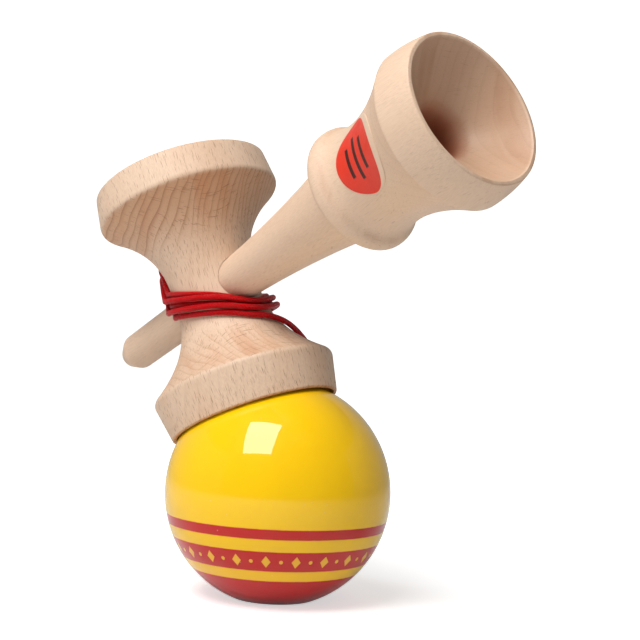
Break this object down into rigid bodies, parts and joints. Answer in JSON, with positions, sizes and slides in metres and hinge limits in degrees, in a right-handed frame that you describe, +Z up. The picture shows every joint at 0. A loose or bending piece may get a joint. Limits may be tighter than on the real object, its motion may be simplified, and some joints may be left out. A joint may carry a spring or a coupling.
{
  "type": "cup and ball toy",
  "caption": "Wooden cup and ball toy: a turned handle with a spike and a base cup goes through a cupped crosspiece, which rests on a striped ball; a red string is wound round the waist.",
  "frame": {"origin": "centre of the ball's hole, on the surface that the ball stands on", "axes": "+Z up; the crosspiece leans towards -X and the base cup points towards +X"},
  "size_m": [0.143, 0.0784, 0.1391],
  "materials": {
    "yellow_lacquer": "gloss lacquer with red stripes",
    "beech": "smooth satin",
    "red_string": "braided",
    "label": "printed film"
  },
  "bodies": {
    "ball": {"ball": "yellow_lacquer"},
    "bead": {"string_bead": "beech", "bead_knot": "red_string"},
    "crosspiece": {"crosspiece": "beech", "string_winding": "red_string", "string_tail": "red_string", "anchor_knot": "red_string"},
    "handle": {"handle": "beech", "sticker": "label"}
  },
  "joints": [
    {"name": "string_swivel", "type": "hinge", "parent": "ball", "child": "bead", "pos_m": [0, 0, 0.0388], "axis": [0, 0, 1], "continuous": true},
    {"name": "cup_lift", "type": "slide", "parent": "bead", "child": "crosspiece", "axis": [-0.4131, 0, 0.9107], "range_m": [0, 0.04], "deforming": ["string_tail"]},
    {"name": "handle_slide", "type": "slide", "parent": "crosspiece", "child": "handle", "axis": [0.8709, -0.2924, 0.3951], "range_m": [0, 0.075]}
  ]
}
